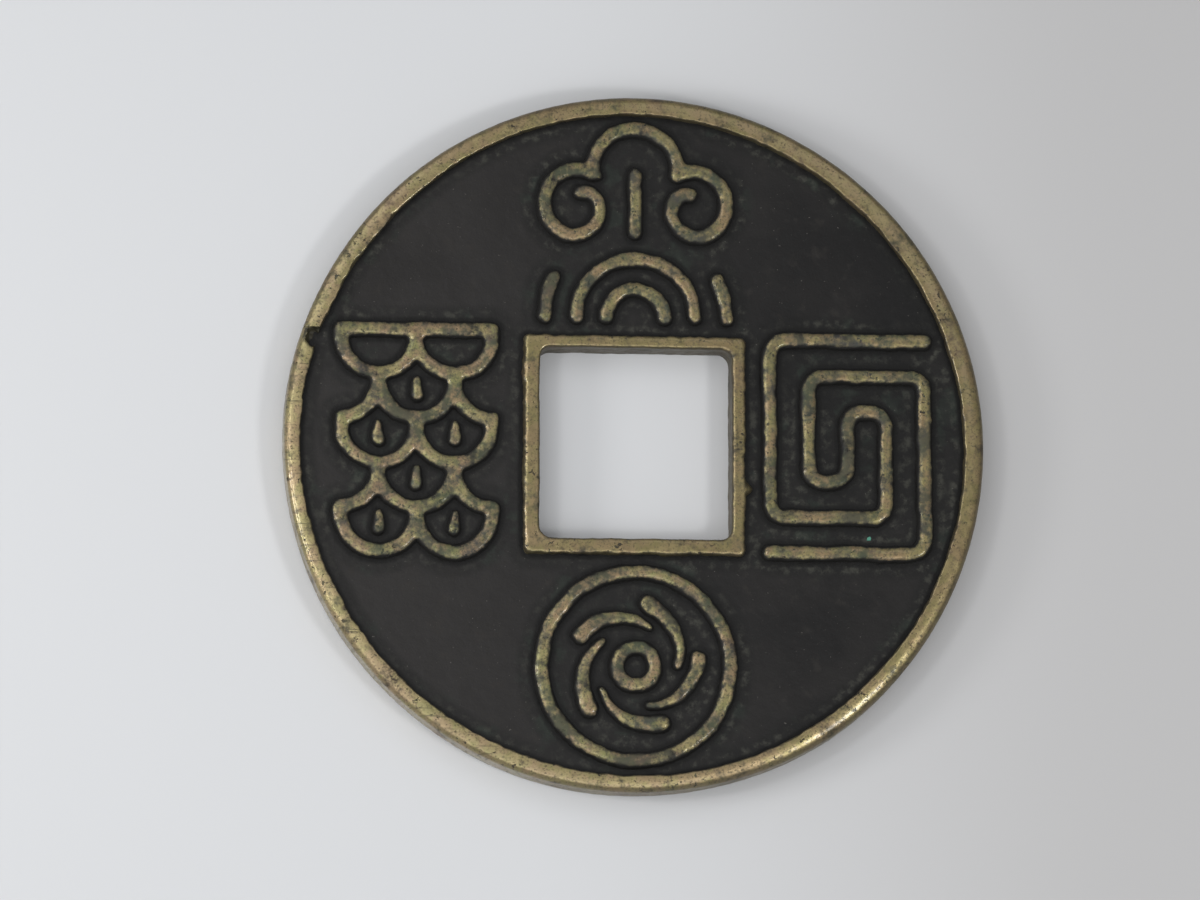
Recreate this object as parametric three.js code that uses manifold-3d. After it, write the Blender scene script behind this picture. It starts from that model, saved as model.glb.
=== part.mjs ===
// A large round cash coin with a square hole, about 45 mm across and lying on its back. The real coin is one
// bronze casting. It is split here along the forms that the caster cut into the mould: a plate with the hole,
// rims round the edge and round the hole on both faces, and on the front the raised lines of four ornaments.
// Sizes are in millimetres. +Z points out of the front face and +Y to the coin's top. The origin is under
// the middle of the hole, on the surface that the coin rests on.
import * as THREE from "three";
import { mergeVertices } from "three/addons/utils/BufferGeometryUtils.js";
import Module from "manifold-3d";

const wasm = await Module();
wasm.setup();

// The casting
const coinDiameter = 45;
const coinThickness = 2.6;
const frontRelief = 0.65; // the front field lies this far below its rims
const backRelief = 0.4; // and the back field this far
const outerRimWidth = 1;
const edgeRounding = 0.45; // of the coin's outer corners
const rimRounding = 0.12; // of a rim's corners above the field

// The square hole and its rim, which the caster left wider on some sides than on others
const holeSize = 12.3;
const holeCornerRadius = 0.7;
const holeEdgeRounding = 0.18;
const holeRimWidths = { left: 1.05, right: 0.85, top: 0.8, bottom: 1 };
const holeRimCornerRadius = 0.35;

// A casting flaw: a bite out of the front outer rim, on its inner side
const flawAngle = THREE.MathUtils.degToRad(162); // round from +X
const flawLength = 1.15; // along the rim
const flawReach = 0.62; // outwards from the rim's inner wall
const flawDepth = 0.42; // down from the rim's top
const flawOverrun = 0.3; // the cutter sticks out this far past the metal

// The raised lines of the ornaments
const lineWidth = 1.25; // at the foot
const lineDraft = 0.08; // each side leans in by this much up to the shoulder
const lineShoulder = 0.1; // worn corner along each side of the top
const ornamentDrop = 0.05; // the lines are this much lower than the rims
const bendRadius = 0.95; // of a line's bends, at its middle

// Cloud head over hills, above the hole
const cloudInnerGap = 0.6; // free field between the hole's rim and the ornament
const cloudOuterGap = 0.4; // and between the ornament and the outer rim
const curlEyeRadius = 0.1; // free field in the middle of a curl
const cloudDropGap = 0.45; // from the top of the hills up to the drop

// Thunder fret, right of the hole
const fretInnerGap = 1;
const fretOuterGap = 2.3;
const fretHeight = 15;

// Whorl, below the hole
const whorlInnerGap = 0.5;
const whorlOuterGap = 0.5;
const whorlArmCount = 5;

// Net of hanging scales, left of the hole
const scalesInnerGap = 1.35;
const scalesOuterGap = 2;
const scalesHeight = 15.6;
const scaleRowCount = 5;
const scaleDropGap = 0.3; // from a drop to the scale that holds it

// Fineness of the round forms
const rimFacetCount = 96;
const ringFacetCount = 48;
const turnStepCount = 32; // in a whole turn of a bend
const capStepCount = 5;
const roundingStepCount = 3;
const highestRoundingShare = 0.9; // of a rim's height

const fullTurn = 2 * Math.PI;
const quarterTurn = Math.PI / 2;
const coinRadius = coinDiameter / 2;
const fieldRadius = coinRadius - outerRimWidth;
const fieldTop = coinThickness - frontRelief;
const ornamentTop = coinThickness - ornamentDrop;
const holeHalf = holeSize / 2;
const halfLine = lineWidth / 2;

const finish = (color, roughness, metalness) =>
  new THREE.MeshStandardMaterial({ color, roughness, metalness, flatShading: true });
const finishes = {
  field: finish(0x2d2a28, 0.5, 0.6),
  rim: finish(0xa3946a, 0.4, 0.9),
  line: finish(0x857c58, 0.45, 0.85),
};

const coin = new THREE.Group();

function addPiece(name, geometry, material) {
  const piece = new THREE.Mesh(geometry, material);
  piece.name = name;
  coin.add(piece);
}

function toSolid(geometry) {
  const bare = geometry.clone();
  bare.deleteAttribute("normal");
  bare.deleteAttribute("uv");
  const merged = mergeVertices(bare);
  return new wasm.Manifold(
    new wasm.Mesh({
      numProp: 3,
      vertProperties: merged.attributes.position.array,
      triVerts: new Uint32Array(merged.index.array),
    }),
  );
}

function toGeometry(solid) {
  const mesh = solid.getMesh();
  return new THREE.BufferGeometry()
    .setAttribute("position", new THREE.BufferAttribute(mesh.vertProperties, 3))
    .setIndex(new THREE.BufferAttribute(mesh.triVerts, 1));
}

function joined(geometries) {
  return toGeometry(geometries.map(toSolid).reduce((whole, next) => whole.add(next)));
}

// A closed solid through rising levels. Each level has its height and its loops: an outline, anticlockwise,
// and any holes, clockwise. A loop has as many points on every level.
function layered(levels) {
  const loopSizes = levels[0].loops.map((loop) => loop.length);
  const perLevel = levels[0].loops.flat().length;
  const corners = levels.flatMap(({ z, loops }) => loops.flat().flatMap(({ x, y }) => [x, y, z]));
  const faces = [];
  for (let level = 0; level + 1 < levels.length; level++) {
    let start = level * perLevel;
    for (const size of loopSizes) {
      for (let i = 0; i < size; i++) {
        const [here, next] = [start + i, start + ((i + 1) % size)];
        faces.push(here, next, next + perLevel, here, next + perLevel, here + perLevel);
      }
      start += size;
    }
  }
  const endFaces = ({ loops: [outline, ...holes] }) =>
    THREE.ShapeUtils.triangulateShape(outline, holes).flat();
  const topStart = perLevel * (levels.length - 1);
  faces.push(...endFaces(levels[0]).reverse());
  faces.push(...endFaces(levels.at(-1)).map((corner) => topStart + corner));
  return new THREE.BufferGeometry()
    .setAttribute("position", new THREE.BufferAttribute(new Float32Array(corners), 3))
    .setIndex(faces);
}

// Points along a circle's arc, or along a spiral where the radius changes on the way
function arcPoints(x, y, fromRadius, toRadius, fromAngle, toAngle) {
  const steps = Math.ceil((turnStepCount * Math.abs(toAngle - fromAngle)) / fullTurn);
  return Array.from({ length: steps + 1 }, (unused, i) => {
    const angle = THREE.MathUtils.lerp(fromAngle, toAngle, i / steps);
    const radius = THREE.MathUtils.lerp(fromRadius, toRadius, i / steps);
    return new THREE.Vector2(x + radius * Math.cos(angle), y + radius * Math.sin(angle));
  });
}

function circle(x, y, radius, facets) {
  return Array.from({ length: facets }, (unused, i) => {
    const angle = (fullTurn * i) / facets;
    return new THREE.Vector2(x + radius * Math.cos(angle), y + radius * Math.sin(angle));
  });
}

function roundedRectangle(left, right, bottom, top, radius) {
  const middles = [
    [right - radius, bottom + radius],
    [right - radius, top - radius],
    [left + radius, top - radius],
    [left + radius, bottom + radius],
  ];
  return middles.flatMap(([x, y], i) =>
    arcPoints(x, y, radius, radius, (i - 1) * quarterTurn, i * quarterTurn),
  );
}

// Each loop of the casting, with its metal drawn in by an inset
const coinEdge = (inset) => circle(0, 0, coinRadius - inset, rimFacetCount);
const fieldEdge = (inset) => circle(0, 0, fieldRadius + inset, rimFacetCount).toReversed();
const holeEdge = (inset) => {
  const half = holeHalf + inset;
  return roundedRectangle(-half, half, -half, half, holeCornerRadius).toReversed();
};
const holeRim = {
  left: -holeHalf - holeRimWidths.left,
  right: holeHalf + holeRimWidths.right,
  bottom: -holeHalf - holeRimWidths.bottom,
  top: holeHalf + holeRimWidths.top,
};
const holeRimEdge = (inset) =>
  roundedRectangle(
    holeRim.left + inset,
    holeRim.right - inset,
    holeRim.bottom + inset,
    holeRim.top - inset,
    holeRimCornerRadius,
  );

// The plate between the two faces
function fieldDisc() {
  const loops = [coinEdge(0), holeEdge(0)];
  return layered([backRelief, fieldTop].map((z) => ({ z, loops })));
}

// How far a rounded corner draws its wall in, at a depth below the rim's top
function drawnIn(rounding, depth) {
  return depth < rounding ? rounding - Math.sqrt(rounding ** 2 - (rounding - depth) ** 2) : 0;
}

// A rim that stands on z = 0. Each of its two edges gives a loop and has a rounding of its own.
function rim(height, outside, inside) {
  const deepest = Math.min(Math.max(outside.rounding, inside.rounding), highestRoundingShare * height);
  const roundingDepths = Array.from(
    { length: roundingStepCount + 1 },
    (unused, i) => deepest * (1 - Math.sin((quarterTurn * i) / roundingStepCount)),
  );
  const edges = [outside, inside].map(({ loopAt, rounding }) => ({
    loopAt,
    rounding: Math.min(rounding, deepest),
  }));
  return layered(
    [height, ...roundingDepths].map((depth) => ({
      z: height - depth,
      loops: edges.map(({ loopAt, rounding }) => loopAt(drawnIn(rounding, depth))),
    })),
  );
}

function outerRim(height) {
  return rim(
    height,
    { loopAt: coinEdge, rounding: edgeRounding },
    { loopAt: fieldEdge, rounding: rimRounding },
  );
}

function innerRim(height) {
  return rim(
    height,
    { loopAt: holeRimEdge, rounding: rimRounding },
    { loopAt: holeEdge, rounding: holeEdgeRounding },
  );
}

function flawCutter() {
  const side = flawReach + flawOverrun;
  return new THREE.BoxGeometry(side, flawLength, flawDepth + flawOverrun)
    .translate(fieldRadius + flawReach - side / 2, 0, coinThickness + (flawOverrun - flawDepth) / 2)
    .rotateZ(flawAngle);
}

function addCasting() {
  addPiece("field_disc", fieldDisc(), finishes.field);
  const frontOuter = outerRim(frontRelief).translate(0, 0, fieldTop);
  const flawed = toGeometry(toSolid(frontOuter).subtract(toSolid(flawCutter())));
  addPiece("front_outer_rim", flawed, finishes.rim);
  addPiece("front_inner_rim", innerRim(frontRelief).translate(0, 0, fieldTop), finishes.rim);
  const turnedOver = (geometry) => geometry.rotateX(Math.PI).translate(0, 0, backRelief);
  addPiece("back_outer_rim", turnedOver(outerRim(backRelief)), finishes.rim);
  addPiece("back_inner_rim", turnedOver(innerRim(backRelief)), finishes.rim);
}

// Half a raised line's width at its foot, under its worn corners and at its top
const lineLevels = [
  { z: fieldTop, halfWidth: halfLine },
  { z: ornamentTop - lineShoulder, halfWidth: halfLine - lineDraft },
  { z: ornamentTop, halfWidth: halfLine - lineDraft - lineShoulder },
];

// A line's outline at one level: along its right side, round its end, back along its left side
function lineOutline(middle, halfWidthAt) {
  const last = middle.length - 1;
  const ahead = middle.map((point, i) =>
    new THREE.Vector2().subVectors(middle[Math.min(i + 1, last)], middle[Math.max(i - 1, 0)]).normalize(),
  );
  const side = (sign) =>
    middle.map((point, i) => {
      const across = new THREE.Vector2(-ahead[i].y, ahead[i].x);
      return point.clone().addScaledVector(across, sign * halfWidthAt(i / last));
    });
  const cap = (i, startAngle) =>
    Array.from({ length: capStepCount - 1 }, (unused, step) => {
      const angle = startAngle + (Math.PI * (step + 1)) / capStepCount;
      const outwards = new THREE.Vector2(Math.cos(angle), Math.sin(angle));
      return middle[i].clone().addScaledVector(outwards, halfWidthAt(i / last));
    });
  return [
    ...side(-1),
    ...cap(last, ahead[last].angle() - quarterTurn),
    ...side(1).reverse(),
    ...cap(0, ahead[0].angle() + quarterTurn),
  ];
}

// A raised line with round ends along the points in middle. Its width at the foot changes evenly on the way,
// and its sides lean in the less the narrower it is.
function raisedLine(middle, startWidth = lineWidth, endWidth = lineWidth) {
  return layered(
    lineLevels.map(({ z, halfWidth }) => {
      const halfWidthAt = (along) =>
        (halfWidth * THREE.MathUtils.lerp(startWidth, endWidth, along)) / lineWidth;
      return { z, loops: [lineOutline(middle, halfWidthAt)] };
    }),
  );
}

function raisedRing(x, y, radius) {
  return layered(
    lineLevels.map(({ z, halfWidth }) => ({
      z,
      loops: [
        circle(x, y, radius + halfWidth, ringFacetCount),
        circle(x, y, radius - halfWidth, ringFacetCount).toReversed(),
      ],
    })),
  );
}

// Straight runs through the corners, each corner rounded with a radius
function bentLine(corners, radius) {
  const bends = corners.slice(1, -1).map((corner, i) => {
    const arriving = corner.clone().sub(corners[i]).normalize();
    const leaving = corners[i + 2].clone().sub(corner).normalize();
    const turn = Math.atan2(arriving.cross(leaving), arriving.dot(leaving));
    const inwards = new THREE.Vector2(-arriving.y, arriving.x).multiplyScalar(Math.sign(turn));
    const centre = corner
      .clone()
      .addScaledVector(arriving, -radius * Math.tan(Math.abs(turn) / 2))
      .addScaledVector(inwards, radius);
    const fromAngle = inwards.negate().angle();
    return arcPoints(centre.x, centre.y, radius, radius, fromAngle, fromAngle + turn);
  });
  return [corners[0], ...bends.flat(), corners.at(-1)];
}

// The room for the middles of an ornament's lines, between two distances from the coin's centre
function roomBetween(near, far) {
  return { middle: (near + far) / 2, half: (far - near - lineWidth) / 2 };
}

// A cloud head: two curled lobes that hang from a crest, with a drop between them
const lobeRadiusShare = 0.355; // of half the room's height, as are the next five
const lobeSpreadShare = 0.6;
const lobeRiseShare = 0.2;
const crestRadiusShare = 0.45;
const cloudDropTopShare = 0.5;
const hillShares = { outer: 0.62, inner: 0.3, side: 0.95 };
const lobeTurns = { start: 0.17, round: 0.7, end: 1.2 }; // whole turns about a lobe's middle
const hillSideTurns = 0.072; // how far a side hill goes round

function cloudHead(room) {
  const [lobe, crest] = [lobeRadiusShare * room.half, crestRadiusShare * room.half];
  const crestY = room.middle + room.half - crest;
  const lobeX = lobeSpreadShare * room.half;
  const lobeY = room.middle + lobeRiseShare * room.half;
  const [start, round, end] = [lobeTurns.start, lobeTurns.round, lobeTurns.end].map(
    (turns) => turns * fullTurn,
  );
  const leftLines = [
    arcPoints(-lobeX, lobeY, lobe, lobe, start, round),
    arcPoints(-lobeX, lobeY, lobe, halfLine + curlEyeRadius, round, end),
  ];
  const rightLines = leftLines.map((line) => line.map(({ x, y }) => new THREE.Vector2(-x, y)));
  const meeting = rightLines[0][0];
  const toMeeting = Math.atan2(meeting.y - crestY, meeting.x);
  const crestLine = arcPoints(0, crestY, crest, crest, Math.PI - toMeeting, toMeeting);
  return joined([crestLine, ...leftLines, ...rightLines].map((line) => raisedLine(line)));
}

// The cloud head over hills, which are arches about one point on the ground
function addCloud() {
  const room = roomBetween(holeRim.top + cloudInnerGap, fieldRadius - cloudOuterGap);
  addPiece("cloud_head", cloudHead(room), finishes.line);
  const ground = room.middle - room.half;
  const hillTop = ground + hillShares.outer * room.half;
  const drop = [
    new THREE.Vector2(0, room.middle + cloudDropTopShare * room.half),
    new THREE.Vector2(0, hillTop + lineWidth + cloudDropGap),
  ];
  addPiece("cloud_drop", raisedLine(drop), finishes.line);
  const [outer, inner, side] = [hillShares.outer, hillShares.inner, hillShares.side].map(
    (share) => share * room.half,
  );
  const sideSweep = hillSideTurns * fullTurn;
  const hills = {
    hill_outer: arcPoints(0, ground, outer, outer, Math.PI, 0),
    hill_inner: arcPoints(0, ground, inner, inner, Math.PI, 0),
    hill_side_left: arcPoints(0, ground, side, side, Math.PI, Math.PI - sideSweep),
    hill_side_right: arcPoints(0, ground, side, side, 0, sideSweep),
  };
  for (const [name, line] of Object.entries(hills)) {
    addPiece(name, raisedLine(line), finishes.line);
  }
}

// A thunder fret: two square spirals that wind round each other and meet in the middle. The route from an
// outer end to the middle runs along the columns and rows of a grid about the fret's middle.
const fretColumnCount = 4;
const fretRowCount = 6;
const fretHalfRoute = [
  [-2, -3],
  [2, -3],
  [2, 2],
  [-1, 2],
  [-1, -1],
  [0, -1],
];
const widestBendShare = 0.48; // of the distance between two lines

function addFret() {
  const { middle, half } = roomBetween(holeRim.right + fretInnerGap, fieldRadius - fretOuterGap);
  const columnPitch = (2 * half) / fretColumnCount;
  const rowPitch = (fretHeight - lineWidth) / fretRowCount;
  const otherHalf = fretHalfRoute.map(([column, row]) => [-column, -row]).reverse();
  const corners = [...fretHalfRoute, ...otherHalf].map(
    ([column, row]) => new THREE.Vector2(middle + column * columnPitch, row * rowPitch),
  );
  const widestBend = widestBendShare * Math.min(columnPitch, rowPitch);
  addPiece("thunder_fret", raisedLine(bentLine(corners, Math.min(bendRadius, widestBend))), finishes.line);
}

// A whorl: a ring with curved arms that turn about an eye
const whorlShares = { eye: 0.2, tail: 0.44, head: 0.67 }; // of the ring's radius
const whorlArmWidthShares = { tail: 0.13, head: 0.24 }; // of the ring's radius
const whorlArmTurns = 0.22; // how far an arm goes round

function addWhorl() {
  const { middle, half: ring } = roomBetween(whorlInnerGap - holeRim.bottom, fieldRadius - whorlOuterGap);
  addPiece("whorl_ring", raisedRing(0, -middle, ring), finishes.line);
  addPiece("whorl_eye", raisedRing(0, -middle, whorlShares.eye * ring), finishes.line);
  const [tail, head] = [whorlShares.tail * ring, whorlShares.head * ring];
  const [tailWidth, headWidth] = [whorlArmWidthShares.tail * ring, whorlArmWidthShares.head * ring];
  for (let arm = 1; arm <= whorlArmCount; arm++) {
    const start = (fullTurn * arm) / whorlArmCount;
    const line = arcPoints(0, -middle, tail, head, start, start + whorlArmTurns * fullTurn);
    addPiece(`whorl_arm_${arm}`, raisedLine(line, tailWidth, headWidth), finishes.line);
  }
}

// A net of hanging scales under a bar: rows of two scales, and of one between two halves. Below the first
// row each whole scale holds a drop.
const scaleLegShare = 0.155; // of a row's height, where the scale's sides are straight
const scaleDropTopShare = 0.135; // of a row's height, down to the middle of the drop's upper end
const scaleDropRadiusShares = { top: 0.2, foot: 0.32 }; // of the free radius in a scale

function addScales() {
  const { middle, half } = roomBetween(scalesInnerGap - holeRim.left, fieldRadius - scalesOuterGap);
  const rowHeight = (scalesHeight - lineWidth) / scaleRowCount;
  const legHeight = scaleLegShare * rowHeight;
  const scaleHalf = half / 2; // two scales side by side fill the room
  const scaleDepth = rowHeight - legHeight;
  const barY = (scaleRowCount * rowHeight) / 2;
  const [left, right] = [-middle - half, -middle + half];
  const net = [[new THREE.Vector2(left, barY), new THREE.Vector2(right, barY)]];

  const freeRadius = Math.min(scaleHalf, scaleDepth) - halfLine;
  const topRadius = scaleDropRadiusShares.top * freeRadius;
  const footRadius = scaleDropRadiusShares.foot * freeRadius;
  const topBelowRow = scaleDropTopShare * rowHeight;
  const footBelowRow = rowHeight - halfLine - scaleDropGap - footRadius;

  let drops = 0;
  for (let row = 0; row < scaleRowCount; row++) {
    const rowTop = barY - row * rowHeight;
    const leg = (x) => new THREE.Vector2(x, rowTop);
    const hangingArc = (x, fromAngle, toAngle) =>
      arcPoints(0, 0, scaleHalf, scaleHalf, fromAngle, toAngle).map(
        (point) => new THREE.Vector2(x + point.x, rowTop - legHeight + (point.y * scaleDepth) / scaleHalf),
      );
    const wholeScale = (x) => [leg(x - scaleHalf), ...hangingArc(x, Math.PI, fullTurn), leg(x + scaleHalf)];
    const twoScales = row % 2 === 0;
    const scaleMiddles = twoScales ? [-middle - scaleHalf, -middle + scaleHalf] : [-middle];
    net.push(...scaleMiddles.map(wholeScale));
    if (!twoScales) {
      net.push([...hangingArc(left, 3 * quarterTurn, fullTurn), leg(left + scaleHalf)]);
      net.push([leg(right - scaleHalf), ...hangingArc(right, Math.PI, 3 * quarterTurn)]);
    }
    for (const x of row > 0 ? scaleMiddles : []) {
      const drop = [topBelowRow, footBelowRow].map((below) => new THREE.Vector2(x, rowTop - below));
      drops += 1;
      addPiece(`scale_drop_${drops}`, raisedLine(drop, 2 * topRadius, 2 * footRadius), finishes.line);
    }
  }
  addPiece("scale_net", joined(net.map((line) => raisedLine(line))), finishes.line);
}

addCasting();
addCloud();
addFret();
addWhorl();
addScales();

export default coin;
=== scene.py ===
import math

import bmesh
import bpy
from mathutils import Matrix, Vector, kdtree


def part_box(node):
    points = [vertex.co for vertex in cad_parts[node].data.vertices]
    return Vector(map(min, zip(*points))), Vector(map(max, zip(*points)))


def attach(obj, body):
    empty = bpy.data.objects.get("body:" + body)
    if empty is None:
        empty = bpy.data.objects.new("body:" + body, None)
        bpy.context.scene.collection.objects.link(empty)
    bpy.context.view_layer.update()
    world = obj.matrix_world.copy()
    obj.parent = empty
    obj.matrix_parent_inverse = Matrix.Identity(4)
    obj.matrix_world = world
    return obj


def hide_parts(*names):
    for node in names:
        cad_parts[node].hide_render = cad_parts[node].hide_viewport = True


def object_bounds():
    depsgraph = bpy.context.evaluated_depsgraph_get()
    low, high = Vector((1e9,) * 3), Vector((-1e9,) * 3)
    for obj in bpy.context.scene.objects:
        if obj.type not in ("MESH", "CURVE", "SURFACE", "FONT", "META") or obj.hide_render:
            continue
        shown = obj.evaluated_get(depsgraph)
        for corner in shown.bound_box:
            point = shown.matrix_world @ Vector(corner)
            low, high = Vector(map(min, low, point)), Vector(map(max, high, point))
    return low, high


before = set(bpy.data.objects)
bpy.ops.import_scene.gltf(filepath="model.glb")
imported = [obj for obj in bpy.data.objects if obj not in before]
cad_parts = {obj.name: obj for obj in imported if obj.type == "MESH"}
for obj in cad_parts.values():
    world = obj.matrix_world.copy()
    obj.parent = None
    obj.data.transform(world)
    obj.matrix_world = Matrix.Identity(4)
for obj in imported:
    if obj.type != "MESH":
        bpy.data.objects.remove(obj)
cad_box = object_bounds()

MM = 0.001

# Sizes of the coin, in millimetres, most of them from the CAD frame. Bearings are degrees from the coin's
# right, counted towards its top.
coin_high = cad_box[1] / MM
coin_radius = coin_high.x
coin_thickness = coin_high.z
rim_width = 1.0
field_radius = coin_radius - rim_width
field_low, field_high = (corner.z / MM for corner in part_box("field_disc"))
hole_rim_low, hole_rim_high = (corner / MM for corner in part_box("front_inner_rim"))
hole_half = 6.15
hole_corner_radius = 0.7
ornament_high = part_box("scale_net")[1].z / MM

# The outer rim: its foot buried in the field, its inner edge off centre and wider at some bearings, its
# corners rounded, and its front worn, most of all at the lower right
rim_overlap = 0.2
rim_lean = 0.2
rim_widenings = {45: 0.1, 143: 0.26, 218: 0.08, 295: -0.08}
front_rounding, back_rounding, inner_rounding = 0.44, 0.38, 0.16
rim_wear = 0.05
low_right_bearing, low_right_wear = 310, 0.16

# The casting flaw in the outer rim, and the crack from it to the edge
flaw_place = Vector((-20.45, 6.5, coin_thickness))
flaw_reach = Vector((0.7, 0.72, 0.8))
flaw_turn = math.radians(-18)
crack_low = (-22.8, 7.08, coin_thickness - 0.35)
crack_high = (-20.7, 7.16, coin_thickness + 1)

# The rim of the hole, a hair lower than the outer rim, and the lump of casting metal beside it
hole_rim_rounding = 0.35
hole_rim_drop = 0.01
lump_place, lump_radius = (7.0, -2.8, 2.05), 0.45

# The field's own hole, whose edge the hole's rim hides
field_hole_half, field_hole_corner_radius = 6.6, 0.6

# Heights that are clear of the coin
below_coin, above_coin = -1, 4

# How fine each mesh is
field_grain, hole_rim_grain, line_grain = 0.18, 0.1, 0.085

# How far painted shade and dirt gather from the rims and the raised lines, and the one spot of verdigris
shade_and_dirt_reach = 1.4
verdigris_place = (15.0, -5.85, field_high)

ornaments = [
    "cloud_head", "cloud_drop", "hill_outer", "hill_inner", "hill_side_left", "hill_side_right",
    "thunder_fret", "whorl_ring", "whorl_eye", *(f"whorl_arm_{number}" for number in range(1, 6)),
    "scale_net", *(f"scale_drop_{number}" for number in range(1, 7)),
]


# Modelling by hand
def select_only(piece):
    bpy.ops.object.select_all(action="DESELECT")
    piece.select_set(True)
    bpy.context.view_layer.objects.active = piece


def name_piece(name):
    piece = bpy.context.object
    piece.name = name
    piece.data.name = name
    return piece


def finish_with(piece, kind, **settings):
    """Adds a modifier to a piece and applies it."""
    select_only(piece)
    modifier = piece.modifiers.new(kind, kind)
    for setting, value in settings.items():
        setattr(modifier, setting, value)
    bpy.ops.object.modifier_apply(modifier=modifier.name)


def cut_away(piece, cutter):
    finish_with(piece, "BOOLEAN", operation="DIFFERENCE", object=cutter, solver="EXACT")
    bpy.data.objects.remove(cutter)


def join_in(piece, other):
    finish_with(piece, "BOOLEAN", operation="UNION", object=other, solver="EXACT")
    bpy.data.objects.remove(other)


def select_points(piece, mode, chosen):
    """Goes into edit mode with only the chosen points, edges or faces selected."""
    select_only(piece)
    bpy.ops.object.mode_set(mode="EDIT")
    bpy.ops.mesh.select_mode(type=mode)
    bpy.ops.mesh.select_all(action="DESELECT")
    mesh = bmesh.from_edit_mesh(piece.data)
    for item in {"VERT": mesh.verts, "EDGE": mesh.edges, "FACE": mesh.faces}[mode]:
        if chosen(item):
            item.select_set(True)
    mesh.select_flush_mode()
    bmesh.update_edit_mesh(piece.data)


def leave_edit_mode():
    bpy.ops.object.mode_set(mode="OBJECT")


def block(low, high, corner_radius):
    """Makes a box between two corners, its upright edges rounded."""
    low, high = Vector(low), Vector(high)
    bpy.ops.object.select_all(action="DESELECT")
    bpy.ops.mesh.primitive_cube_add(size=1, location=(low + high) / 2)
    piece = bpy.context.object
    piece.scale = high - low
    bpy.ops.object.transform_apply(location=True, rotation=True, scale=True)
    select_points(
        piece, "EDGE", lambda edge: abs(edge.verts[0].co.z - edge.verts[1].co.z) > (high.z - low.z) / 2
    )
    bpy.ops.mesh.bevel(offset=corner_radius, segments=6, affect="EDGES")
    leave_edit_mode()
    return piece


def square_cutter(half, corner_radius):
    """Makes a square block on the coin's axis that reaches past both faces."""
    return block((-half, -half, below_coin), (half, half, above_coin), corner_radius)


# Unevenness that the surfaces are pushed by, its size in millimetres
def clouds(name, size, depth):
    texture = bpy.data.textures.new(name, "CLOUDS")
    texture.noise_scale = size
    texture.noise_depth = depth
    texture.noise_basis = "ORIGINAL_PERLIN"
    return texture


slow_waver = clouds("slow_waver", 5.0, 1)
waver = clouds("waver", 1.8, 1)
other_waver = clouds("other_waver", 2.1, 2)
ragged = clouds("ragged", 0.5, 2)
other_ragged = clouds("other_ragged", 0.62, 2)
casting_skin = clouds("casting_skin", 0.9, 3)
out_of_round = clouds("out_of_round", 14.0, 0)


def push(piece, texture, strength, direction="NORMAL", middle=0.5, group=""):
    """Pushes a surface in and out unevenly. A texture value of middle stays where it is."""
    finish_with(
        piece, "DISPLACE", texture=texture, strength=strength, direction=direction, mid_level=middle,
        texture_coords="LOCAL", vertex_group=group,
    )


def shift(piece, distance, group, direction="Z"):
    """Shifts the points of a vertex group along an axis, each by its weight."""
    finish_with(piece, "DISPLACE", strength=distance, mid_level=0, direction=direction, vertex_group=group)


def push_sideways(piece, slow, quick, group=""):
    """Makes a form's sides wander, slowly and raggedly, and leaves its top flat."""
    for texture, strength, direction in (
        (waver, slow, "X"), (other_waver, slow, "Y"), (ragged, quick, "X"), (other_ragged, quick, "Y"),
    ):
        push(piece, texture, strength, direction, group=group)


def sink_top(piece, depth):
    """Lets a form's top lie up to a depth below its full height, unevenly."""
    top = weigh(piece, "top", lambda at: ramp(at.z, coin_thickness / 2, ornament_high - 0.2))
    push(piece, slow_waver, 2 * depth, "Z", 0.75, top)


def weigh(piece, name, weight_at):
    """Gives a piece a vertex group whose weight depends on the place, and returns its name."""
    group = piece.vertex_groups.new(name=name)
    for vertex in piece.data.vertices:
        weight = weight_at(vertex.co)
        if weight > 0:
            group.add([vertex.index], min(weight, 1), "REPLACE")
    return name


def ramp(value, start, end):
    return min(max((value - start) / (end - start), 0), 1)


def plan_distance(spots):
    """Returns a function that tells how far a place is from the nearest of the spots, seen from above."""
    tree = kdtree.KDTree(len(spots))
    for number, spot in enumerate(spots):
        tree.insert((spot.x, spot.y, 0), number)
    tree.balance()
    return lambda at: tree.find((at.x, at.y, 0))[2]


def crown(piece, drop, width):
    """Rounds a raised form's top, which falls over a width towards its sides."""
    is_side = lambda vertex: vertex.co.z > field_high and abs(vertex.normal.z) < 0.4
    to_side = plan_distance([vertex.co for vertex in piece.data.vertices if is_side(vertex)])
    shift(piece, -drop, weigh(piece, "crown", lambda at: (1 - ramp(to_side(at), 0, width)) ** 2))


def mark(piece, attribute, values):
    """Stores a value at each of a piece's points, for its material to read."""
    piece.data.attributes.new(attribute, "FLOAT", "POINT").data.foreach_set("value", values)


def bring_to_metres(piece, material, slot, *nodes):
    piece.scale = (MM, MM, MM)
    select_only(piece)
    bpy.ops.object.transform_apply(location=True, rotation=True, scale=True)
    bpy.ops.object.shade_smooth()
    piece.vertex_groups.clear()
    piece.data.materials.clear()
    piece.data.materials.append(material)
    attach(piece, "root")
    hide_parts(*nodes)


# Materials
def srgb(red, green, blue):
    def linear(value):
        value /= 255
        return value / 12.92 if value <= 0.04045 else ((value + 0.055) / 1.055) ** 2.4

    return (linear(red), linear(green), linear(blue), 1)


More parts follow.
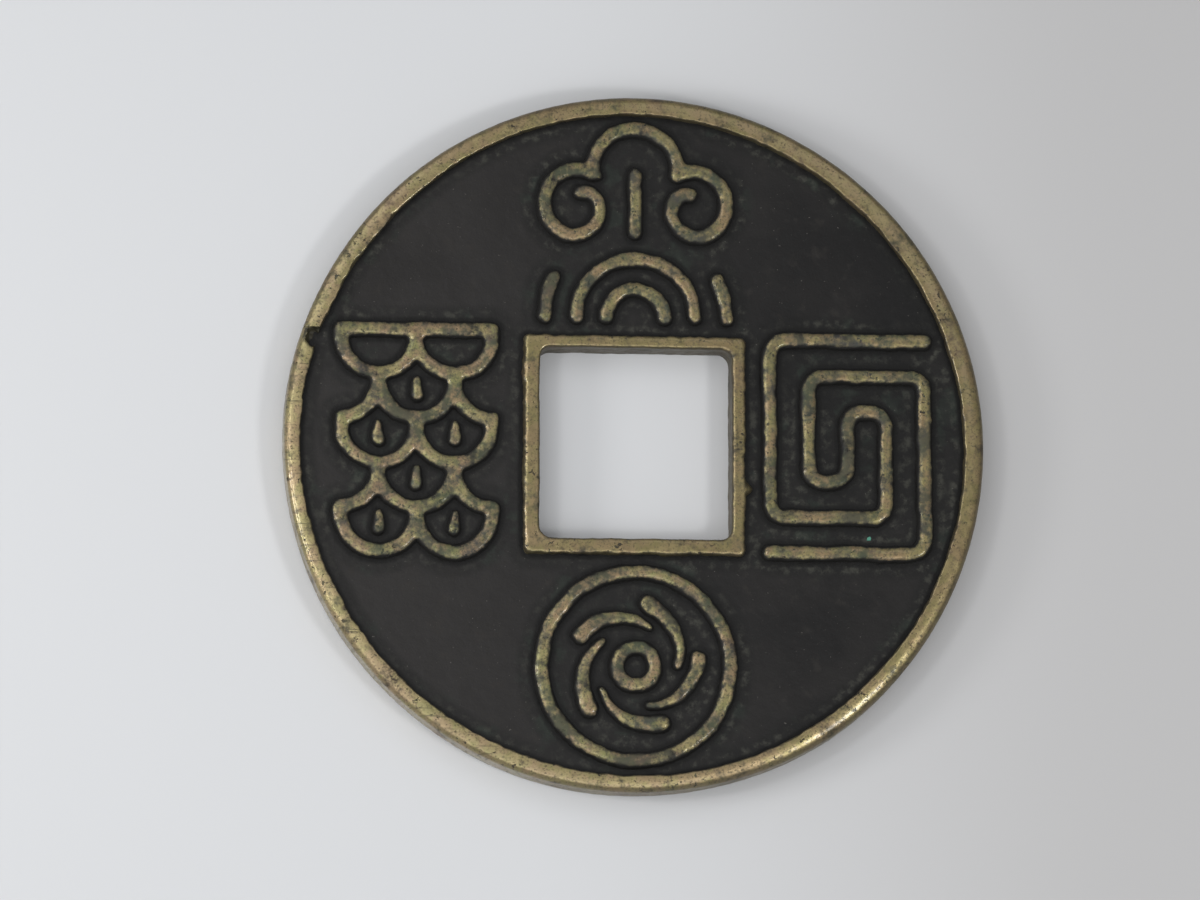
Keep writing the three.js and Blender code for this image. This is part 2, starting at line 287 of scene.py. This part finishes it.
class Finish:
    """A material that is put together node by node, with its patterns in millimetres on the coin."""

    def __init__(self, name):
        self.material = bpy.data.materials.new(name)
        self.material.use_nodes = True
        self.tree = self.material.node_tree
        self.shader = self.tree.nodes["Principled BSDF"]
        place = self.node("TexCoord").outputs["Object"]
        self.place = self.node("Mapping", {"Vector": place, "Scale": (1 / MM,) * 3}).outputs["Vector"]

    def node(self, kind, inputs=(), **settings):
        node = self.tree.nodes.new("ShaderNode" + kind)
        for setting, value in settings.items():
            setattr(node, setting, value)
        for socket, value in dict(inputs).items():
            self.feed(node.inputs[socket], value)
        return node

    def feed(self, socket, value):
        if isinstance(value, bpy.types.NodeSocket):
            self.tree.links.new(value, socket)
        else:
            socket.default_value = value

    def noise(self, per_mm, detail=3.0, roughness=0.55, distortion=0.0, offset=0.0):
        moved = self.node("Mapping", {"Vector": self.place, "Location": (offset, offset, offset)})
        return self.node(
            "TexNoise",
            {
                "Vector": moved.outputs["Vector"], "Scale": per_mm, "Detail": detail,
                "Roughness": roughness, "Distortion": distortion,
            },
        ).outputs["Fac"]

    def spread(self, value, start, end, low=0.0, high=1.0):
        """Maps a value from start to end onto low to high, smoothly and with its ends held."""
        node = self.node(
            "MapRange",
            {"Value": value, "From Min": start, "From Max": end, "To Min": low, "To Max": high},
            interpolation_type="SMOOTHSTEP",
        )
        return node.outputs["Result"]

    def math(self, operation, first, second=0.0, third=0.0):
        node = self.node("Math", operation=operation)
        self.feed(node.inputs[0], first)
        self.feed(node.inputs[1], second)
        self.feed(node.inputs[2], third)
        return node.outputs[0]

    def mix(self, share, first, second):
        node = self.node("Mix", data_type="RGBA")
        self.feed(node.inputs[0], share)
        self.feed(node.inputs[6], first)
        self.feed(node.inputs[7], second)
        return node.outputs[2]

    def radius(self):
        """Millimetres from the coin's axis."""
        flat = self.node("VectorMath", {0: self.place, 1: (1, 1, 0)}, operation="MULTIPLY").outputs["Vector"]
        return self.node("VectorMath", {0: flat}, operation="LENGTH").outputs["Value"]

    def facing(self):
        """How squarely the surface faces the front or the back, from 0 to 1."""
        normal = self.node("TexCoord").outputs["Normal"]
        return self.math("ABSOLUTE", self.node("SeparateXYZ", {"Vector": normal}).outputs["Z"])

    def bump(self, height, depth_mm, under=None):
        inputs = {"Height": height, "Distance": depth_mm * MM, "Strength": 1.0}
        if under is not None:
            inputs["Normal"] = under
        return self.node("Bump", inputs).outputs["Normal"]


# Colours of the patina, the dirt, the painted light and shade, and the bronze
patina_painted_lit_left, patina_painted_shade_right = srgb(42, 40, 39), srgb(20, 19, 19)
patina_cloud, patina_blotch = srgb(34, 32, 31), srgb(46, 43, 40)
painted_shade_and_dirt, crevice_shade_and_dirt, dust = srgb(16, 16, 15), srgb(11, 10, 9), srgb(130, 126, 120)
metal_trace, green_trace, verdigris = srgb(79, 79, 71), srgb(46, 56, 48), srgb(84, 146, 126)
# The bronze that the metal turns to: painted shade towards the upper right, and tarnish by the hole
tarnished_and_shaded_bronze = srgb(128, 112, 74)


def dark_field():
    """Nearly black patina with painted light, lighter on the left and darker on the right, and with painted
    shade and dirt gathered beside the rims and the raised lines.
    """
    finish = Finish("dark_field_patina")
    broad = finish.noise(0.16, 3)
    blotches = finish.noise(0.9, 4, 0.6, offset=11)
    clumps = finish.noise(1.7, 5, 0.62, offset=37)
    grain = finish.noise(7.0, 3, 0.6, offset=23)
    across = finish.node("SeparateXYZ", {"Vector": finish.place}).outputs["X"]
    # Painted light: the patina is lighter on the left and darker on the right, where less light falls
    colour = finish.mix(finish.spread(across, -18, 18), patina_painted_lit_left, patina_painted_shade_right)
    colour = finish.mix(finish.spread(broad, 0.42, 0.68, 0, 0.8), colour, patina_cloud)
    colour = finish.mix(finish.spread(blotches, 0.55, 0.75, 0, 0.5), colour, patina_blotch)

    # Painted shade and dirt beside the rims and the raised lines, traces of metal, and a dark crevice of
    # painted shade and dirt at their feet
    near = finish.node("Attribute", attribute_name="near_lines").outputs["Fac"]
    # Painted shade and dirt: the field darkens towards the rims and the raised lines
    colour = finish.mix(finish.spread(near, 0.1, 0.5, 0, 0.45), colour, painted_shade_and_dirt)
    traces = finish.math("MULTIPLY", finish.spread(near, 0.3, 0.6), finish.spread(clumps, 0.45, 0.7))
    traces = finish.math("MULTIPLY", traces, finish.spread(broad, 0.4, 0.6, 0.2, 1))
    colour = finish.mix(finish.math("MULTIPLY", traces, 0.5), colour, metal_trace)
    green = finish.spread(finish.noise(0.5, 4, 0.6, offset=77), 0.54, 0.66, 0, 0.5)
    colour = finish.mix(finish.math("MULTIPLY", green, near), colour, green_trace)
    specks = finish.math("MULTIPLY", finish.spread(grain, 0.68, 0.74), finish.spread(clumps, 0.48, 0.6))
    colour = finish.mix(finish.math("MULTIPLY", specks, 0.6), colour, dust)
    # Painted shade and dirt: a near-black crevice at the feet of the rims and the raised lines
    colour = finish.mix(finish.spread(near, 0.68, 0.88, 0, 0.88), colour, crevice_shade_and_dirt)
    to_spot = finish.node("VectorMath", {0: finish.place, 1: verdigris_place}, operation="DISTANCE")
    away = finish.math("MULTIPLY_ADD", finish.math("SUBTRACT", grain, 0.5), 0.2, to_spot.outputs["Value"])
    colour = finish.mix(finish.spread(away, 0.1, 0.16, 1, 0), colour, verdigris)
    finish.feed(finish.shader.inputs["Base Color"], colour)
    finish.feed(finish.shader.inputs["Roughness"], finish.spread(blotches, 0.3, 0.7, 0.42, 0.56))
    finish.shader.inputs["Metallic"].default_value = 0.0
    finish.shader.inputs["Specular IOR Level"].default_value = 0.24
    skin = finish.bump(finish.noise(1.4, 3, 0.6, offset=5), 0.05)
    finish.feed(finish.shader.inputs["Normal"], finish.bump(clumps, 0.02, skin))
    return finish.material


def worn_bronze(name, metals, patina, tints, cover, speckle, polish, is_rim):
    """Bronze, bright where it is worn and with its patina left in patches, on the sides and in the pits.

    The metals change into each other in patches. The patina has tints, each with the noise value that it
    starts at and its greatest share. More cover and more speckle leave more patina, and a lower polish
    value shines more. Painted shade makes the metal darker towards the upper right. A rim is also worn on
    its side, with more bare metal on the left as painted light as well as wear, has file marks on the left,
    and is more tarnished by the hole.
    """
    finish = Finish(name)
    patches = finish.noise(0.42, 4, 0.6, 0.4)
    fine = finish.noise(2.4, 4, 0.6, offset=7)
    grain = finish.noise(6.5, 3, 0.6, offset=17)
    pits = finish.noise(3.2, 4, 0.6, offset=31)
    clusters = finish.noise(0.8, 3, 0.6, offset=53)

    # Where the metal shows: on the faces, but not in the patches, the specks, the file marks and the flaw
    height = finish.node("SeparateXYZ", {"Vector": finish.place}).outputs["Z"]
    from_middle = finish.math("ABSOLUTE", finish.math("SUBTRACT", height, coin_thickness / 2))
    high = finish.spread(from_middle, 0.86, 1.08)
    uneven = finish.math("SUBTRACT", fine, 0.5)
    rubbed = finish.spread(finish.math("MULTIPLY_ADD", uneven, 0.5, finish.facing()), 0.7, 0.99)
    rubbed = finish.math("MULTIPLY", rubbed, high)
    to_right = finish.node("VectorMath", {0: finish.place, 1: (0.87, 0.5, 0)}, operation="DOT_PRODUCT")
    to_right = to_right.outputs["Value"]
    if is_rim:
        side = finish.math("MULTIPLY_ADD", uneven, 0.8, finish.radius())
        # Painted light and wear: the rim's side shows more bare metal on the left, where the light falls, than
        # on the right
        side_worn_and_lit = finish.spread(to_right, -coin_radius, -10, 0.85, 0.42)
        side_rubbed = finish.spread(side, coin_radius - 0.75, coin_radius - 0.45, 0.2, side_worn_and_lit)
        rubbed = finish.math("MAXIMUM", rubbed, side_rubbed)
    kept = finish.math("MULTIPLY_ADD", uneven, 0.6, patches)
    shows = finish.math("MULTIPLY", rubbed, finish.spread(kept, cover - 0.14, cover + 0.14, 0.05, 1))
    shows = finish.math("MULTIPLY", shows, finish.spread(grain, speckle - 0.1, speckle + 0.1, 0.3, 1))
    specks = finish.math("MULTIPLY_ADD", clusters, 0.35, pits)
    shows = finish.math("MULTIPLY", shows, finish.spread(specks, 0.81, 0.86, 1, 0.05))
    if is_rim:
        drawn_out = finish.node("VectorMath", {0: finish.place, 1: (0.3, 6, 0.3)}, operation="MULTIPLY")
        streaks = finish.node("TexNoise", {"Vector": drawn_out.outputs["Vector"], "Scale": 1.0, "Detail": 2.0})
        streaks = finish.spread(streaks.outputs["Fac"], 0.64, 0.68)
        marks = finish.math("MULTIPLY", streaks, finish.spread(to_right, -16, -12, 0.55, 0))
        shows = finish.math("MULTIPLY", shows, finish.math("SUBTRACT", 1, marks))
    in_flaw = finish.node("Attribute", attribute_name="in_flaw").outputs["Fac"]
    shows = finish.math("MULTIPLY", shows, finish.math("SUBTRACT", 1, in_flaw))

    # The metal, darker towards the upper right by painted shade and on a rim more tarnished by the hole, and
    # the patina with its tints
    metal = metals[0]
    for number, tone in enumerate(metals[1:]):
        patch = finish.noise(0.8, 5, 0.66, offset=3 + 19 * number)
        metal = finish.mix(finish.spread(patch, 0.42, 0.6), metal, tone)
    # Painted shade: the metal turns darker towards the upper right, away from the light
    tarnish_and_painted_shade = finish.spread(to_right, -coin_radius, coin_radius, 0, 0.48)
    if is_rim:
        by_hole = finish.spread(finish.radius(), 10, 16, 0.22, 0)
        tarnish_and_painted_shade = finish.math("ADD", tarnish_and_painted_shade, by_hole)
    metal = finish.mix(tarnish_and_painted_shade, metal, tarnished_and_shaded_bronze)
    for number, (tint, start, most) in enumerate(tints):
        patch = finish.noise(0.5, 3, 0.55, 0.5, offset=41 + 13 * number)
        share = finish.spread(patch, start, start + 0.16, 0, most)
        patina = finish.mix(finish.math("MULTIPLY", share, rubbed), patina, tint)
    finish.feed(finish.shader.inputs["Base Color"], finish.mix(shows, patina, metal))
    finish.feed(finish.shader.inputs["Metallic"], finish.spread(shows, 0.0, 1.0, 0.15, 0.92))
    rough = finish.spread(fine, 0.3, 0.7, polish, polish + 0.14)
    rough = finish.math("MULTIPLY_ADD", finish.math("SUBTRACT", 1, shows), 0.22, rough)
    finish.feed(finish.shader.inputs["Roughness"], rough)
    finish.shader.inputs["Specular IOR Level"].default_value = 0.4

    # The thin film of handling, which gives the worn metal its pale glints, and the small dents
    finish.feed(finish.shader.inputs["Coat Weight"], finish.math("MULTIPLY", shows, 0.7))
    finish.shader.inputs["Coat Roughness"].default_value = 0.16
    dents = finish.bump(finish.spread(specks, 0.79, 0.88, 1, 0), 0.025)
    finish.feed(finish.shader.inputs["Normal"], finish.bump(fine, 0.012, dents))
    return finish.material


field_finish = dark_field()
rim_finish = worn_bronze(
    "worn_rim_bronze",
    metals=[srgb(170, 155, 112), srgb(152, 143, 98), srgb(165, 144, 110)],
    patina=srgb(40, 36, 28),
    tints=[(srgb(84, 80, 58), 0.42, 0.9), (srgb(92, 74, 60), 0.5, 0.8), (srgb(60, 66, 50), 0.54, 0.6)],
    cover=0.37, speckle=0.4, polish=0.27, is_rim=True,
)
line_finish = worn_bronze(
    "worn_line_bronze",
    metals=[srgb(162, 150, 106), srgb(138, 137, 92), srgb(156, 133, 104)],
    patina=srgb(30, 29, 27),
    tints=[
        (srgb(76, 74, 58), 0.34, 0.9), (srgb(62, 70, 52), 0.46, 0.8), (srgb(52, 62, 58), 0.56, 0.7),
        (srgb(54, 54, 56), 0.54, 0.7), (srgb(88, 74, 64), 0.56, 0.7),
    ],
    cover=0.5, speckle=0.42, polish=0.34, is_rim=False,
)


# The field: the plate between the faces, its edges buried in the rims
def model_field():
    bpy.ops.object.select_all(action="DESELECT")
    bpy.ops.mesh.primitive_cylinder_add(
        vertices=128, radius=field_radius + rim_width / 2, depth=field_high - field_low,
        location=(0, 0, (field_high + field_low) / 2),
    )
    piece = name_piece("field")
    bpy.ops.object.transform_apply(location=True, rotation=True, scale=True)
    cut_away(piece, square_cutter(field_hole_half, field_hole_corner_radius))
    finish_with(piece, "REMESH", mode="VOXEL", voxel_size=field_grain)
    push(piece, slow_waver, 0.05, "Z")
    push(piece, casting_skin, 0.035)
    return piece


def mark_nearness(piece, raised, attribute, reach):
    """Stores how near each of a piece's points is to the raised forms, from 1 at a form to 0 at the reach."""
    spots = [vertex.co for form in raised for vertex in form.data.vertices]
    in_front = plan_distance([spot for spot in spots if spot.z > field_high])
    behind = plan_distance([spot for spot in spots if spot.z < field_low])
    away = [(in_front if v.co.z > coin_thickness / 2 else behind)(v.co) for v in piece.data.vertices]
    mark(piece, attribute, [1 - ramp(distance, 0, reach) for distance in away])


# The outer rim: its section, from back to front, turned about the coin's axis
def model_edge_rim():
    bpy.ops.object.select_all(action="DESELECT")
    width = rim_width + rim_overlap
    bpy.ops.mesh.primitive_plane_add(
        size=1, location=(coin_radius - width / 2, 0, coin_thickness / 2), rotation=(math.pi / 2, 0, 0)
    )
    piece = name_piece("edge_rim")
    piece.scale = (width, coin_thickness, 1)
    bpy.ops.object.transform_apply(location=True, rotation=True, scale=True)
    corners = (
        (front_rounding, lambda at: at.x > field_radius + 0.1 and at.z > coin_thickness - 0.01),
        (back_rounding, lambda at: at.x > field_radius + 0.1 and at.z < 0.01),
        (inner_rounding, lambda at: at.x < field_radius + 0.01),
    )
    for rounding, is_there in corners:
        select_points(piece, "VERT", lambda vertex: is_there(vertex.co))
        bpy.ops.mesh.bevel(offset=rounding, segments=6, affect="VERTICES")
        leave_edit_mode()
    for _ in range(3):
        select_points(piece, "EDGE", lambda edge: edge.calc_length() > 0.4)
        bpy.ops.mesh.subdivide(number_cuts=1)
        leave_edit_mode()
    select_points(piece, "FACE", lambda face: True)
    bpy.ops.mesh.delete(type="ONLY_FACE")
    bpy.ops.mesh.select_all(action="SELECT")
    bpy.ops.mesh.spin(steps=720, angle=2 * math.pi, center=(0, 0, 0), axis=(0, 0, 1), use_auto_merge=True)
    bpy.ops.mesh.select_all(action="SELECT")
    bpy.ops.mesh.remove_doubles(threshold=0.0005)
    bpy.ops.mesh.normals_make_consistent(inside=False)
    leave_edit_mode()
    select_points(piece, "VERT", lambda vertex: from_axis(vertex.co) < field_radius + 0.15)
    bpy.ops.transform.translate(value=(-rim_lean, 0, 0))
    leave_edit_mode()
    return piece


def from_axis(at):
    return math.hypot(at.x, at.y)


def beside(at, bearing):
    """Tells how near a place lies to a bearing from the coin's axis, from 0 to 1."""
    out = Vector((math.cos(math.radians(bearing)), math.sin(math.radians(bearing)), 0))
    return max(at.dot(out) / from_axis(at), 0) ** 8


def roughen_edge_rim(piece):
    """Wears the rim's front down towards the edge, makes its inner edge wander, and its outline uneven."""
    upwards = lambda at: ramp(at.z, coin_thickness / 2, coin_thickness - 0.3)
    outwards = lambda at: upwards(at) * ramp(from_axis(at), field_radius, coin_radius)
    shift(piece, -rim_wear, weigh(piece, "worn_off", outwards))
    low_right = weigh(piece, "low_right", lambda at: outwards(at) ** 1.5 * beside(at, low_right_bearing))
    shift(piece, -low_right_wear, low_right)
    inwards = lambda at: 1 - ramp(from_axis(at), field_radius, field_radius + 0.4)
    push_sideways(piece, 0.2, 0.2, weigh(piece, "inner", inwards))
    for bearing, extra in rim_widenings.items():
        stretch = weigh(piece, "stretch", lambda at: inwards(at) * beside(at, bearing))
        shift(piece, -extra * math.cos(math.radians(bearing)), stretch, "X")
        shift(piece, -extra * math.sin(math.radians(bearing)), stretch, "Y")
        piece.vertex_groups.remove(piece.vertex_groups[stretch])
    outer = weigh(piece, "outer", lambda at: ramp(from_axis(at), field_radius + 0.3, coin_radius - 0.1))
    push(piece, out_of_round, 0.22, middle=0.75, group=outer)
    push(piece, ragged, 0.045, middle=1)


def bite_edge_rim(piece):
    """Cuts the casting flaw: a bite out of the rim's inner side, and a crack from it to the edge."""
    bpy.ops.object.select_all(action="DESELECT")
    bpy.ops.mesh.primitive_ico_sphere_add(subdivisions=4, radius=1)
    bite = bpy.context.object
    bite.scale = flaw_reach
    bite.rotation_euler.z = flaw_turn
    bite.location = flaw_place
    bpy.ops.object.transform_apply(location=True, rotation=True, scale=True)
    push(bite, ragged, 0.5)
    push(bite, other_ragged, 0.45)
    cut_away(piece, bite)
    crack = block(crack_low, crack_high, 0.03)
    push(crack, ragged, 0.1, "Y")
    cut_away(piece, crack)
    to_flaw = lambda at: Vector([(at - flaw_place)[axis] / flaw_reach[axis] for axis in range(3)]).length
    is_in_flaw = lambda at: to_flaw(at) < 1.25 and at.z < coin_thickness - 0.08
    mark(piece, "in_flaw", [float(is_in_flaw(vertex.co)) for vertex in piece.data.vertices])


# The rim of the square hole, a sleeve from back to front
def model_hole_rim():
    low, high = hole_rim_low, hole_rim_high
    piece = block((low.x, low.y, 0), (high.x, high.y, coin_thickness - hole_rim_drop), hole_rim_rounding)
    select_only(piece)
    name_piece("hole_rim")
    cut_away(piece, square_cutter(hole_half, hole_corner_radius))
    bpy.ops.mesh.primitive_ico_sphere_add(subdivisions=3, radius=lump_radius, location=lump_place)
    join_in(piece, bpy.context.object)
    finish_with(piece, "REMESH", mode="VOXEL", voxel_size=hole_rim_grain)
    finish_with(piece, "SMOOTH", factor=0.5, iterations=10)
    from_hole = lambda at: max(abs(at.x), abs(at.y)) - hole_half
    outside = weigh(piece, "outside", lambda at: ramp(from_hole(at), 0.2, 0.7))
    push_sideways(piece, 0.14, 0.08)
    push_sideways(piece, 0.1, 0.2, outside)
    sink_top(piece, 0.03)
    return piece


# A raised form of an ornament: a copy of the CAD form, sunk into the field, worn, crowned and wavering.
# The small drops are worn less than the lines.
def model_raised_form(node):
    is_drop = "scale_drop" in node
    wear, crown_drop, crown_width = (0.03, 0.12, 0.28) if is_drop else (0.05, 0.15, 0.38)
    select_only(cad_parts[node])
    bpy.ops.object.duplicate()
    piece = name_piece(node + "_worn")
    piece.parent = None
    piece.matrix_world = Matrix.Scale(1 / MM, 4)
    bpy.ops.object.transform_apply(location=True, rotation=True, scale=True)
    bpy.ops.object.mode_set(mode="EDIT")
    bpy.ops.mesh.select_all(action="SELECT")
    bpy.ops.mesh.remove_doubles(threshold=0.0005)
    leave_edit_mode()
    finish_with(piece, "DISPLACE", strength=-wear, mid_level=0)
    select_points(piece, "VERT", lambda vertex: True)
    bpy.ops.transform.translate(value=(0, 0, wear / 2))
    leave_edit_mode()
    select_points(piece, "VERT", lambda vertex: vertex.co.z < field_high + 0.2)
    bpy.ops.transform.translate(value=(0, 0, -0.4))
    leave_edit_mode()
    finish_with(piece, "REMESH", mode="VOXEL", voxel_size=line_grain)
    crown(piece, crown_drop, crown_width)
    finish_with(piece, "SMOOTH", factor=0.5, iterations=9)
    push_sideways(piece, 0.3, 0.14)
    sink_top(piece, 0.04)
    return piece


raised_forms = {node: model_raised_form(node) for node in ornaments}
field = model_field()
edge_rim = model_edge_rim()
roughen_edge_rim(edge_rim)
bite_edge_rim(edge_rim)
hole_rim = model_hole_rim()
mark_nearness(field, [*raised_forms.values(), hole_rim, edge_rim], "near_lines", shade_and_dirt_reach)

bring_to_metres(field, field_finish, "dark_field", "field_disc")
bring_to_metres(edge_rim, rim_finish, "worn_rim", "front_outer_rim", "back_outer_rim")
bring_to_metres(hole_rim, rim_finish, "worn_rim", "front_inner_rim", "back_inner_rim")
for node, piece in raised_forms.items():
    bring_to_metres(piece, line_finish, "worn_line", node)


# The table that the coin lies on, with painted shade making it darker towards the right
bpy.ops.object.select_all(action="DESELECT")
bpy.ops.mesh.primitive_plane_add(size=3)
table = name_piece("table")
paper = Finish("pale_table")
paper_left, paper_shaded_right = srgb(214, 215, 217), srgb(195, 194, 194)
across = paper.node("SeparateXYZ", {"Vector": paper.place}).outputs["X"]
# Painted shade: the paper darkens from the left towards the right
shade = paper.spread(across, -8, 34)
paper.feed(paper.shader.inputs["Base Color"], paper.mix(shade, paper_left, paper_shaded_right))
paper.shader.inputs["Roughness"].default_value = 0.7
table.data.materials.append(paper.material)


# Light: a lamp and windows on the left, a window in front and one far on the right, and the room's own light
def soft_light(name, azimuth, elevation, distance, size, power):
    """Hangs a round light that faces the coin, with its distance and size in metres."""
    lamp = bpy.data.objects.new(name, bpy.data.lights.new(name, "AREA"))
    lamp.data.shape = "DISK"
    lamp.data.size = size
    lamp.data.energy = power
    towards = Vector(
        (
            math.cos(math.radians(azimuth)) * math.cos(math.radians(elevation)),
            math.sin(math.radians(azimuth)) * math.cos(math.radians(elevation)),
            math.sin(math.radians(elevation)),
        )
    )
    lamp.location = towards * distance
    lamp.rotation_euler = towards.to_track_quat("Z", "Y").to_euler()
    bpy.context.collection.objects.link(lamp)


soft_light("lamp", 180, 57, 0.2, 0.03, 0.036)
soft_light("low_window", 184, 28, 0.2, 0.05, 0.095)
soft_light("window", 222, 64, 0.2, 0.17, 0.06)
soft_light("side_window", 140, 54, 0.2, 0.14, 0.05)
soft_light("front_window", 280, 58, 0.25, 0.1, 0.033)
soft_light("far_window", 326, 56, 0.25, 0.045, 0.11)
soft_light("room_fill", 52, 60, 0.25, 0.12, 0.026)

# The room, brighter on the side of the windows
room_dim, room_bright = 0.25, 0.51
room = bpy.data.worlds.new("room")
bpy.context.scene.world = room
room.use_nodes = True
nodes, links = room.node_tree.nodes, room.node_tree.links
looking = nodes.new("ShaderNodeTexCoord")
to_windows = nodes.new("ShaderNodeVectorMath")
to_windows.operation = "DOT_PRODUCT"
to_windows.inputs[1].default_value = (-0.94, -0.34, 0)
brightness = nodes.new("ShaderNodeMapRange")
brightness.inputs["From Min"].default_value = -1
brightness.inputs["To Min"].default_value = room_dim
brightness.inputs["To Max"].default_value = room_bright
links.new(looking.outputs["Generated"], to_windows.inputs[0])
links.new(to_windows.outputs["Value"], brightness.inputs["Value"])
links.new(brightness.outputs["Result"], nodes["Background"].inputs["Strength"])
nodes["Background"].inputs["Color"].default_value = (0.96, 0.98, 1, 1)

# The camera, above the coin and a little to its lower left, with its slants in degrees
aim = Vector((-2.33, -0.51, coin_thickness)) * MM
frame_width = 76.4 * MM
distance = 0.6
slant_left, slant_down = 5.8, 9.5
back = Vector((-math.tan(math.radians(slant_left)), -math.tan(math.radians(slant_down)), 1))
back.normalize()
right = Vector((0, 1, 0)).cross(back).normalized()
up = back.cross(right)
camera = bpy.data.objects.new("camera", bpy.data.cameras.new("camera"))
turned = Matrix((right, up, back)).transposed().to_4x4()
camera.matrix_world = Matrix.Translation(aim + back * distance) @ turned
camera.data.sensor_width = 36
camera.data.lens = 36 * distance / frame_width
camera.data.clip_start = 0.01
bpy.context.collection.objects.link(camera)
bpy.context.scene.camera = camera
bpy.context.scene.view_settings.view_transform = "Standard"
